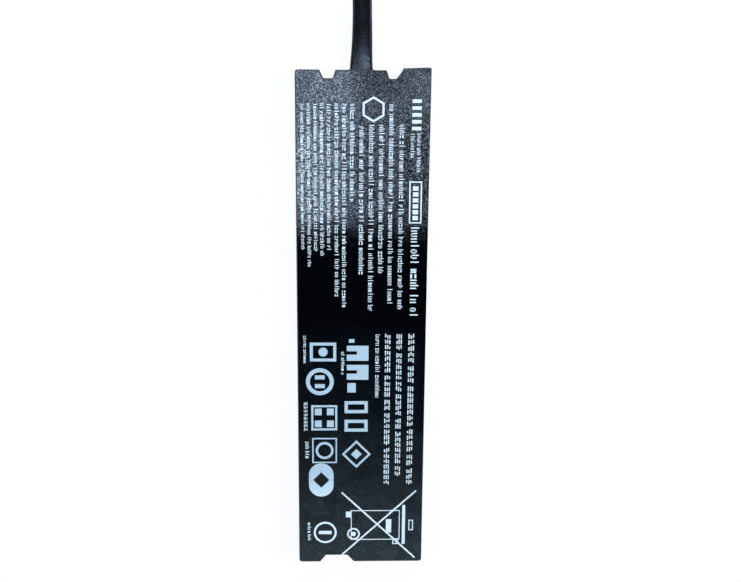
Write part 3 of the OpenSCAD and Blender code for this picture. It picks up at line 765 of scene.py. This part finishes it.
def makeStudio():
    bm = bmesh.new()
    r, h, bend = studio["floorRadius"], studio["wallHeight"], studio["bend"]
    profile = []
    for degrees in range(0, 91, studio["bendDegrees"]):
        a = math.radians(degrees)
        profile.append((r - bend + bend * math.sin(a), bend - bend * math.cos(a)))
    profile.append((r, h))
    turns = [2 * math.pi * k / studio["sides"] for k in range(studio["sides"])]
    rings = [[bm.verts.new((x * math.cos(a), x * math.sin(a), z)) for a in turns] for x, z in profile]
    bm.faces.new(rings[0])
    joinRings(bm, rings)
    obj = meshObject("floor", bm)
    smooth(obj)
    s = Shader("floorWhite")
    s.colour(studio["white"])
    s.body.inputs["Roughness"].default_value = studio["roughness"]
    rays = s.node("ShaderNodeLightPath")
    seen = rays.outputs["Is Camera Ray"]
    for other in ("Is Glossy Ray", "Is Transmission Ray"):
        seen = s.maths("MAXIMUM", seen, rays.outputs[other])
    glow = s.node("ShaderNodeEmission", Color=(1, 1, 1, 1))
    mix = s.node("ShaderNodeMixShader")
    s.join(s.maths("MULTIPLY", seen, studio["cameraWhite"]), mix.inputs[0])
    s.join(s.body.outputs[0], mix.inputs[1])
    s.join(glow.outputs[0], mix.inputs[2])
    s.join(mix.outputs[0], s.tree.nodes["Material Output"].inputs["Surface"])
    obj.data.materials.append(s.mat)


lamps = {  # place, aim (straight down where there is none), width, length, watts, colour, spread in degrees
    "ceilingLeft": ((-0.065, 0.1065, 0.8), None, 0.13, 0.255, 1.74, (0.58, 0.74, 1.0), 180),
    "ceilingRight": ((0.075, 0.1145, 0.8), None, 0.15, 0.061, 0.268, (0.6, 0.76, 1.0), 180),
    "ceilingRightFar": ((0.105, 0.1895, 0.8), None, 0.09, 0.089, 0.25, (0.6, 0.76, 1.0), 180),
    "ceilingRightDim": ((0.03, 0.1895, 0.8), None, 0.06, 0.089, 0.09, (0.6, 0.76, 1.0), 180),
    "ceilingRightNear": ((0.075, 0.0315, 0.8), None, 0.15, 0.105, 0.39, (0.6, 0.76, 1.0), 180),
    "ceilingPatch": ((-0.03, 0.17, 0.79), None, 0.05, 0.045, 0.02, (0.7, 0.84, 1.0), 180),
    "ceilingBright": ((-0.1, 0.042, 0.79), None, 0.11, 0.125, 0.44, (0.7, 0.92, 1.0), 180),
    "foot": ((0.04, -0.42, 0.78), (0.01, 0.388, 0), 0.6, 0.5, 0.56, (0.56, 0.82, 1.0), 54),
    "footNear": ((0.0, -0.27, 0.79), None, 0.2, 0.17, 0.05, (0.38, 0.68, 1.0), 180),
    "left": ((-0.9, 0.2, 0.6), (0, 0, 0), 0.6, 0.6, 3.2, (0.97, 0.98, 1.0), 180),
    "right": ((0.9, 0.2, 0.6), (0, 0, 0), 0.6, 0.6, 8.0, (0.97, 0.98, 1.0), 180),
    "head": ((0.0, 0.9, 0.5), (0, 0, 0), 0.6, 0.4, 3.5, (0.97, 0.98, 1.0), 180),
}


def makeLamps():
    for name, (place, aim, wide, long, watts, colour, spread) in lamps.items():
        data = bpy.data.lights.new(name, "AREA")
        data.shape = "RECTANGLE"
        data.size, data.size_y = wide, long
        data.energy = watts
        data.spread = math.radians(spread)
        data.color = colour
        obj = bpy.data.objects.new(name, data)
        obj.location = place
        aim = aim or (place[0], place[1], 0)
        obj.rotation_euler = (Vector(aim) - Vector(place)).to_track_quat("-Z", "Y").to_euler()
        bpy.context.scene.collection.objects.link(obj)


def makeWorld():
    world = bpy.data.worlds.new("studioAir")
    world.use_nodes = True
    back = world.node_tree.nodes["Background"]
    back.inputs["Color"].default_value = (*studio["worldColour"], 1)
    back.inputs["Strength"].default_value = studio["worldStrength"]
    bpy.context.scene.world = world


makeStudio()
makeLamps()
makeWorld()
bpy.context.scene.view_settings.view_transform = "Standard"
print("studio made")
